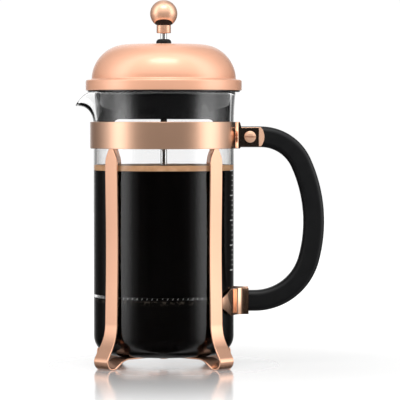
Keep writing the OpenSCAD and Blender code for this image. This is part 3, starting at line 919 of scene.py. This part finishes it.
bushing_low, bushing_high = span("stem_bushing")
rod_low, rod_high = span("rod")
rod_r = rod_high[0]
BORE = rod_r + 0.06
head_r = bushing_high[0]
head_z = dome_z + 0.05
mount(turned("stem_bush", rounded([
    (BORE, bushing_low[2], 0.2), (STEM_R, bushing_low[2], 0.3), (STEM_R, head_z, 0),
    (head_r, head_z, 0.25), (head_r - 0.25, bushing_high[2], 2.4),
    (BORE, bushing_high[2], 0.5)], 8, closed=True), BUSH_PLASTIC, 96),
    "stem", "black_plastic", "stem_bushing")

# ---------------------------------------------------------------- plunger and knob

mount(turned("plunger_rod", rounded([
    (0.0, rod_low[2], 0), (rod_r, rod_low[2], 0.5), (rod_r, rod_high[2], 0.4),
    (0.0, rod_high[2], 0)], 4), STEEL, 64), "plunger", "steel", "rod")

ball_low, ball_high = span("knob_ball")
insert_low, insert_high = span("knob_insert")
ferrule_low, ferrule_high = span("knob_ferrule")
ball_r = ball_high[0]
ball_z = ball_high[2] - ball_r
cut_z = ball_low[2]
insert_r = insert_high[0]
ferrule_r = ferrule_high[0]
ARCH_DEPTH, SIDE_DEPTH = 4.2, ball_z - cut_z    # below the ball's centre, front and side
ARCH_POWER = 2.2
POCKET_R, POCKET_TOP = 4.0, -2.9
PLUG_R, PLUG_EDGE, PLUG_TOP = 3.6, -3.2, -3.4


def knob_pieces():
    """The ball and the bush under it, whose edge arches up at the front and the back."""
    count = 216
    low = insert_low[2] - ball_z
    foot = math.acos(-SIDE_DEPTH / ball_r)
    ball, bush = [], []
    for k in range(count):
        phi = 2 * math.pi * k / count
        c, s = math.cos(phi), math.sin(phi)
        depth = ARCH_DEPTH + (SIDE_DEPTH - ARCH_DEPTH) * abs(c) ** ARCH_POWER
        cut = math.acos(-depth / ball_r)
        line = [(ball_r * math.sin(a), ball_r * math.cos(a))
                for a in np.linspace(0, cut - 0.025, 48)]
        edge = (ball_r * math.sin(cut), -depth)
        line += [(edge[0] * 0.985, edge[1] * 0.985), (edge[0] * 0.93, edge[1] * 0.93),
                 (POCKET_R, POCKET_TOP), (0.0, POCKET_TOP)]
        plug = [(BORE, low), (ferrule_r - 0.2, low), (ferrule_r, low + 0.15),
                (insert_r, -SIDE_DEPTH - 0.12)]
        plug += [((ball_r - 0.05) * math.sin(a), (ball_r - 0.05) * math.cos(a))
                 for a in np.linspace(foot, cut + 0.02, 12)]
        plug += [(edge[0] * 0.94, edge[1] * 0.94), (PLUG_R, PLUG_EDGE), (BORE, PLUG_TOP)]
        ball.append([(r * c, r * s, ball_z + z) for r, z in line])
        bush.append([(r * c, r * s, ball_z + z) for r, z in plug])
    return (piece("knob", *skin(ball, wrap=True), KNOB_COPPER),
            piece("knob_bush", *skin(bush, wrap=True), BUSH_PLASTIC))


knob, knob_bush = knob_pieces()
mount(knob, "knob", "polished_copper", "knob_ball")
mount(knob_bush, "knob", "black_plastic", "knob_insert")
mount(turned("knob_collar", rounded([
    (BORE, ferrule_low[2], 0.2), (ferrule_r, ferrule_low[2], 0.35),
    (ferrule_r, ferrule_high[2], 0.3), (BORE, ferrule_high[2], 0.2)],
    5, closed=True), KNOB_COPPER, 96), "knob", "polished_copper", "knob_ferrule")

# ---------------------------------------------------------------- filter

mesh_low, mesh_high = span("mesh_screen")
spring_tube = (spring_high[2] - spring_low[2]) / 2
spring_ring = spring_high[0] - spring_tube
WIRE = 0.42
RIM_WIRE = 0.28


def spring_piece():
    """The seal round the filter: a coil of wire bent into a ring."""
    turns, per_turn = 83, 14
    total = turns * per_turn
    coil_r = spring_tube - WIRE
    coil = []
    for k in range(total):
        a = 2 * math.pi * k / total
        b = 2 * math.pi * k / per_turn
        r = spring_ring + coil_r * math.cos(b)
        coil.append((r * math.cos(a), r * math.sin(a), spring_z + coil_r * math.sin(b)))
    return piece("coil_spring", *tube(coil, WIRE, 7, wrap=True), SPRING_STEEL, sharp=80)


def woven_piece():
    """The woven wire screen, bound at its edge."""
    middle = (mesh_low[2] + mesh_high[2]) / 2
    radius = mesh_high[0] - 0.35
    pitch, wire, wave = 2.0, 0.13, 0.14
    wires = []
    lines = int(radius / pitch)
    for turn in (0, 1):
        for i in range(-lines, lines + 1):
            off = i * pitch
            reach = math.sqrt(radius ** 2 - off ** 2)
            count = max(2, int(2 * reach / (pitch / 2)))
            run = np.linspace(-reach, reach, count)
            lift = wave * np.cos(math.pi * run / pitch) * (-1) ** (i + turn)
            if turn:
                points = np.stack([np.full(count, off), run, middle + lift], axis=1)
            else:
                points = np.stack([run, np.full(count, off), middle + lift], axis=1)
            wires.append(tube(points, wire, 4))
    rim = [(radius * math.cos(a), radius * math.sin(a), middle)
           for a in np.linspace(0, 2 * math.pi, 121)[:-1]]
    wires.append(tube(rim, RIM_WIRE, 8, wrap=True))
    return piece("woven_screen", *joined(wires), STEEL_SHEET, sharp=80)


mount(spring_piece(), "filter", "steel", "edge_spring")
mount(woven_piece(), "filter", "steel", "mesh_screen")

# CAD nodes whose shape is right keep their mesh and take a finished material
for node, look in (("base_rivet", LEG_COPPER), ("spill_guard", GUARD_PLASTIC),
                   ("bushing_nut", GUARD_PLASTIC), ("rod_collar", STEEL),
                   ("spring_plate", STEEL_SHEET), ("cross_plate", STEEL_SHEET),
                   ("hub_nut", STEEL)):
    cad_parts[node].material_slots[0].material = look


# ---------------------------------------------------------------- floor, light, camera


def floor():
    """A white table that mirrors the object at a low angle, less and less away from it."""
    half, near = 3.0, -0.5
    mesh = bpy.data.meshes.new("table")
    mesh.from_pydata([(-half, near, 0), (half, near, 0), (half, half, 0), (-half, half, 0)],
                     [], [(0, 1, 2, 3)])
    made = bpy.data.objects.new("table", mesh)
    bpy.context.scene.collection.objects.link(made)
    look, t = material("white_table")
    distance = t.add("ShaderNodeVectorMath", operation="LENGTH")
    t.links.new(t.place(), distance.inputs[0])
    mirror = t.calc("MULTIPLY", t.step(distance.outputs["Value"], 0.06, 0.42, 0.74, 0.0),
                    t.step(t.facing(), 0.72, 0.88, 0.12, 1.0))
    white = t.add("ShaderNodeBsdfDiffuse")
    white.inputs["Color"].default_value = rgb(0.92, 0.92, 0.92)
    gloss = t.add("ShaderNodeBsdfGlossy")
    gloss.inputs["Color"].default_value = rgb(1, 1, 1)
    gloss.inputs["Roughness"].default_value = 0.12
    mix = t.add("ShaderNodeMixShader")
    t.feed(mix.inputs[0], mirror)
    t.links.new(white.outputs[0], mix.inputs[1])
    t.links.new(gloss.outputs[0], mix.inputs[2])
    output = t.add("ShaderNodeOutputMaterial")
    t.links.new(mix.outputs[0], output.inputs["Surface"])
    mesh.materials.append(look)
    made.visible_glossy = False


def softbox():
    """A wide soft box above the camera's side, turned to the object's middle."""
    width, height, radiance = 0.85, 0.34, 6.4
    data = bpy.data.lights.new("softbox_top", "AREA")
    data.shape = "RECTANGLE"
    data.size = width
    data.size_y = height
    data.energy = radiance * math.pi * width * height
    made = bpy.data.objects.new("softbox_top", data)
    made.location = (0.0, -0.68, 1.4)
    made.rotation_mode = "QUATERNION"
    made.rotation_quaternion = Vector((0.0, -0.68, 1.28)).to_track_quat("Z", "Y")
    made.visible_camera = False
    bpy.context.scene.collection.objects.link(made)


# how bright the walls of the studio are in reflections, by the angle from the camera's side
BANKS = ((0, .005), (32, .010), (44, .05), (54, .25), (65, .80), (79, .90), (90, .47),
         (99, .22), (110, .12), (122, .03), (140, .03), (152, .08), (162, .24), (180, .38))
BANK_STRENGTH = 2.7
WHITE = 1.02      # for everything that isn't a mirror reflection
FILL = 0.25       # more, for diffuse surfaces
DEGREES = 180 / math.pi


def studio():
    """A white room. Mirror reflections see dark walls with a bright bank on each side."""
    world = bpy.data.worlds.new("studio")
    bpy.context.scene.world = world
    t = Tree(world)
    direction = t.add("ShaderNodeSeparateXYZ")
    t.links.new(t.add("ShaderNodeTexCoord").outputs["Generated"], direction.inputs[0])
    x, y, z = (direction.outputs[k] for k in "XYZ")
    turn = t.calc("ABSOLUTE", t.calc("ARCTAN2", x, t.calc("MULTIPLY", y, -1.0)))
    turn = t.calc("MULTIPLY", turn, DEGREES)
    rise = t.calc("MULTIPLY", t.calc("ARCSINE", z), DEGREES)
    # the right-hand bank reaches a little further round than the left-hand one
    right = t.calc("MULTIPLY", t.calc("GREATER_THAN", x, 0.0), t.step(turn, 70, 95, 0.0, 6.0))
    ramp = t.add("ShaderNodeValToRGB")
    ramp.color_ramp.interpolation = "CARDINAL"
    ramp.color_ramp.elements[0].position = 0.0
    ramp.color_ramp.elements[1].position = 1.0
    for angle, _ in BANKS[1:-1]:
        ramp.color_ramp.elements.new(angle / 180)
    for element, (_, level) in zip(ramp.color_ramp.elements, BANKS):
        element.color = rgb(level, level, level)
    t.feed(ramp.inputs[0], t.calc("DIVIDE", t.calc("SUBTRACT", turn, right), 180.0))
    around = t.calc("MULTIPLY", ramp.outputs[0], BANK_STRENGTH)
    # white overhead, dimmer behind the object, and darker banks below the horizon
    above = t.calc("MULTIPLY", t.step(rise, 6, 26, 0.0, 1.05), t.step(y, -0.3, 0.5, 1.0, 0.25))
    below = t.step(rise, -14, 4, 0.3, 1.0)
    studio_light = t.calc("MAXIMUM", t.calc("MULTIPLY", around, below), above)
    # rays that only pass through glass count as glossy, but have no glossy depth
    path = t.add("ShaderNodeLightPath")
    strength = t.add("ShaderNodeMix", data_type="FLOAT")
    mirrored = t.calc("GREATER_THAN", path.outputs["Glossy Depth"], 0.5)
    t.feed(strength.inputs[0], t.calc("MULTIPLY", path.outputs["Is Glossy Ray"], mirrored))
    t.feed(strength.inputs[2], t.calc("ADD", WHITE, t.calc(
        "MULTIPLY", path.outputs["Is Diffuse Ray"], FILL)))
    t.feed(strength.inputs[3], studio_light)
    background = t.add("ShaderNodeBackground")
    background.inputs["Color"].default_value = rgb(1, 1, 1)
    t.links.new(strength.outputs[0], background.inputs["Strength"])
    output = t.add("ShaderNodeOutputWorld")
    t.links.new(background.outputs[0], output.inputs["Surface"])


def camera():
    """A long lens level with the clamp band, looking very slightly down."""
    data = bpy.data.cameras.new("camera")
    data.lens = 235.5
    data.sensor_width = 36
    data.clip_start = 0.1
    data.clip_end = 60
    made = bpy.data.objects.new("camera", data)
    place = Vector((0.0, -1.8, 0.1684))
    target = Vector((0.02491, 0.0, 0.1134))
    made.location = place
    made.rotation_mode = "QUATERNION"
    made.rotation_quaternion = (target - place).to_track_quat("-Z", "Y")
    bpy.context.scene.collection.objects.link(made)
    bpy.context.scene.camera = made


floor()
softbox()
studio()
camera()
bpy.context.scene.view_settings.view_transform = "Standard"
